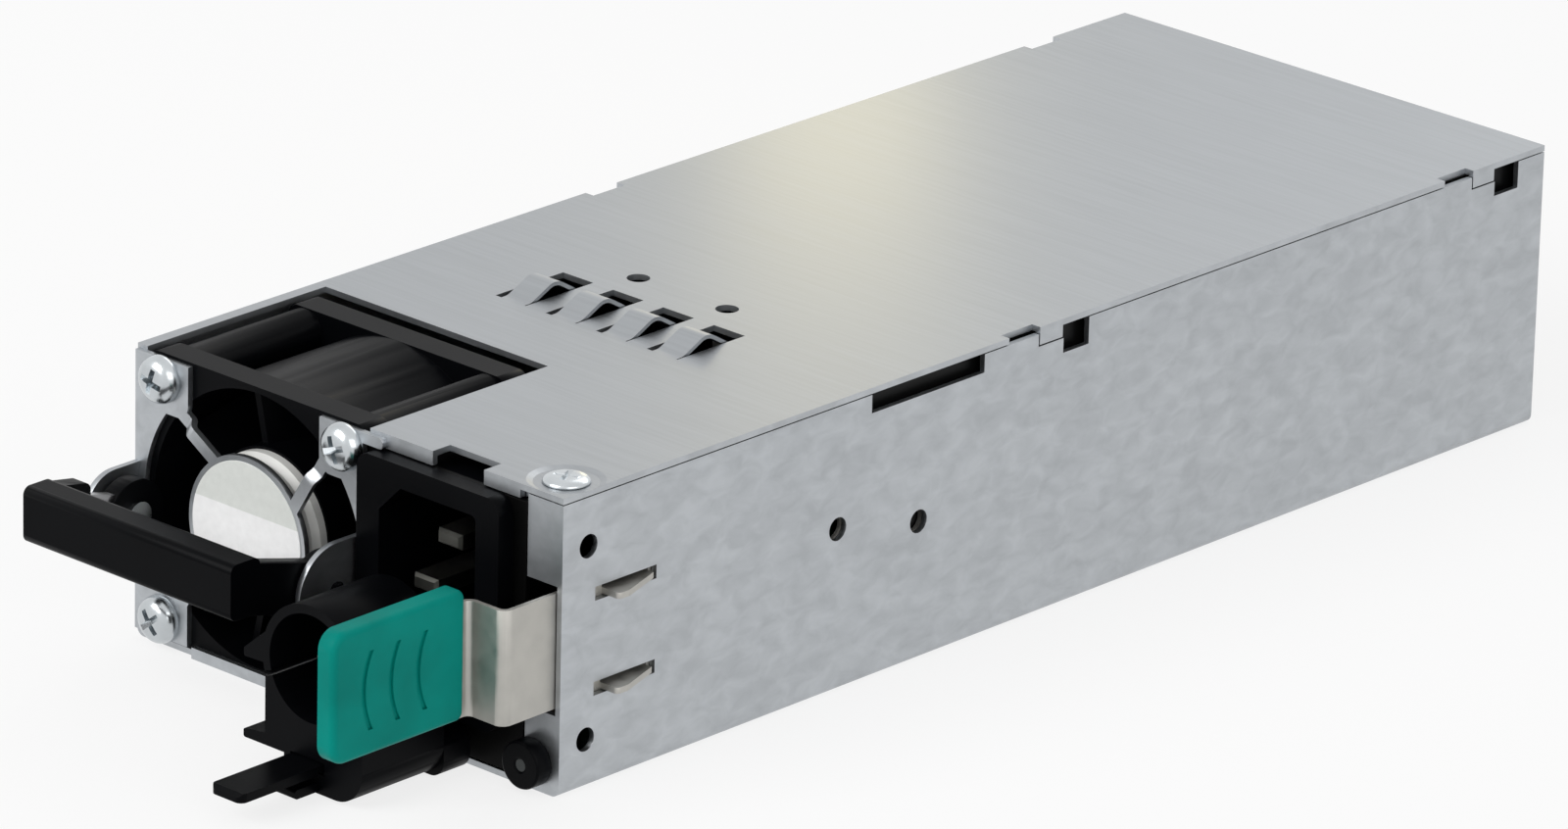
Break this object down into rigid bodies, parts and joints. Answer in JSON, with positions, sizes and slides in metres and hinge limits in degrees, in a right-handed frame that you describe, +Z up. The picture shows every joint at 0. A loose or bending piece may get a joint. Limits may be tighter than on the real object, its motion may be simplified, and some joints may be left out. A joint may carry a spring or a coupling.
{
  "type": "hot swap server power supply",
  "caption": "Long low sheet-steel power supply module with a guarded fan, folding handle, mains inlet, cord clip and spring latch at the front and a card edge at the back.",
  "frame": {"origin": "centre of the case's bottom face", "axes": "+Z up, +Y along the case towards the card edge at the back, so the fan and inlet face -Y; +X towards the latch side"},
  "size_m": [0.0755, 0.2283, 0.0408],
  "materials": {
    "galvanised": "galvanised sheet with a faint spangle",
    "black_paint": "smooth black powder coat",
    "bright_steel": "bright zinc plate",
    "spring_steel": "satin nickel plate",
    "bail_steel": "satin zinc plate",
    "black_plastic": "fine moulded texture",
    "teal_plastic": "satin moulded",
    "nickel_blades": "bright nickel plate",
    "light_lens": "frosted",
    "black_sheet": "smooth film",
    "board_green": "solder mask",
    "gold_contacts": "gold plate",
    "brass_posts": "turned",
    "ferrite": "fired and ground",
    "core_steel": "stacked laminations with windings",
    "film_box": "moulded box",
    "fuse_tube": "ceramic tube",
    "black_sleeve": "shrink sleeve",
    "sink_aluminium": "extruded",
    "coil_tape": "wound tape"
  },
  "bodies": {
    "case": {"base_tray": "galvanised", "top_cover": "galvanised", "fan_guard": "galvanised", "front_panel": "black_paint", "cover_screw": "bright_steel", "fan_screws": "bright_steel", "handle_pins": "bright_steel", "fan_bearings": "bright_steel", "board_screws": "bright_steel", "latch_root": "spring_steel", "fan_frame": "black_plastic", "inlet_housing": "black_plastic", "light_bezel": "black_plastic", "cord_strap": "black_plastic", "inlet_blades": "nickel_blades", "light_pipe": "light_lens", "insulator_sheet": "black_sheet", "main_board": "board_green", "inlet_board": "board_green", "control_card": "board_green", "edge_contacts": "gold_contacts", "standoffs": "brass_posts", "transformer_core": "ferrite", "line_chokes": "ferrite", "fan_stator": "core_steel", "film_capacitors": "film_box", "mains_fuse": "fuse_tube", "bulk_capacitors": "black_sleeve", "output_capacitors": "black_sleeve", "power_devices": "black_sleeve", "heat_sinks": "sink_aluminium", "transformer_coil": "coil_tape"},
    "rotor": {"fan_rotor": "black_plastic", "fan_shaft": "bright_steel", "fan_magnet": "ferrite"},
    "handle": {"handle_bail": "bail_steel", "handle_grip": "black_plastic"},
    "latch": {"latch_leaf": "spring_steel", "latch_pad": "teal_plastic"},
    "clip": {"clip_base": "black_plastic", "clip_pin": "black_plastic"},
    "jaw": {"clip_jaw": "black_plastic"}
  },
  "joints": [
    {"name": "fan_spin", "type": "hinge", "parent": "case", "child": "rotor", "pos_m": [-0.0155, -0.08, 0.0199], "axis": [0, 1, 0], "continuous": true},
    {"name": "handle_pivot", "type": "hinge", "parent": "case", "child": "handle", "pos_m": [-0.0159, -0.0975, 0.0188], "axis": [-1, 0, 0], "range_deg": [0, 52]},
    {"name": "latch_flex", "type": "hinge", "parent": "case", "child": "latch", "pos_m": [0.0355, -0.04005, 0.019], "axis": [0, 0, -1], "range_deg": [0, 2.4], "stiffness_Nm_per_rad": 6},
    {"name": "clip_slide", "type": "slide", "parent": "case", "child": "clip", "axis": [0, -1, 0], "range_m": [0, 0.01]},
    {"name": "clip_open", "type": "hinge", "parent": "clip", "child": "jaw", "pos_m": [0.02149, -0.106, 0.01941], "axis": [0, 1, 0], "range_deg": [0, 60]}
  ]
}
